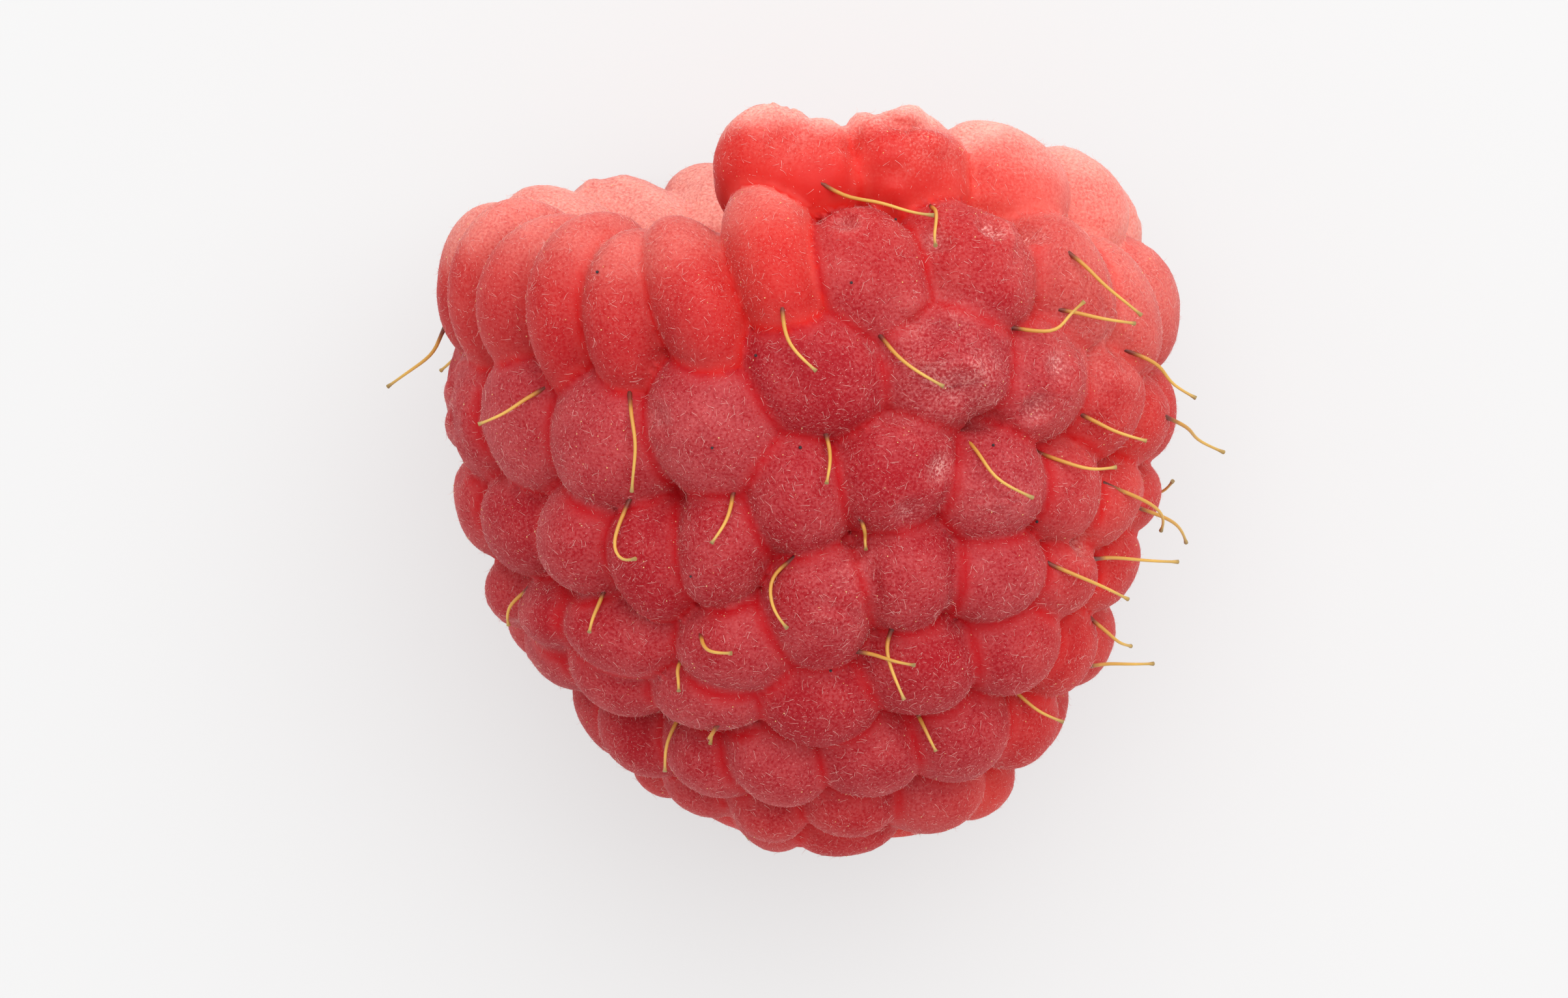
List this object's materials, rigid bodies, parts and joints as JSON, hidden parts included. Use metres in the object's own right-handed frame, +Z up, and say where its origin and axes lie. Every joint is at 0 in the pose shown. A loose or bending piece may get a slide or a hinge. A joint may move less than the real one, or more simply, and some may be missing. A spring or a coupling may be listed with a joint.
{
  "type": "raspberry",
  "caption": "Ripe raspberry picked off its core and lying on its side: a hollow thimble of grown-together drupelets with an open, uneven rim and a closed, rounded tip.",
  "frame": {"origin": "on the ground under the middle of the fruit's bounding box, as it lies", "axes": "+Y along the fruit's axis as seen from above, from the closed tip towards the open rim, which is raised 8 degrees; +Z up; +X to the right seen from above with +Y away"},
  "size_m": [0.021, 0.0212, 0.0204],
  "materials": {
    "flesh": "soft, juicy red skin under fine pale down: satin on the rim, matt and dusty pink on the outward caps, deeper red in the creases",
    "style": "dry golden thread, darker brown at its root and at its knobbed end",
    "down": "fine, short, nearly white hairs"
  },
  "bodies": {
    "root": {"raspberry": "flesh"}
  },
  "joints": []
}
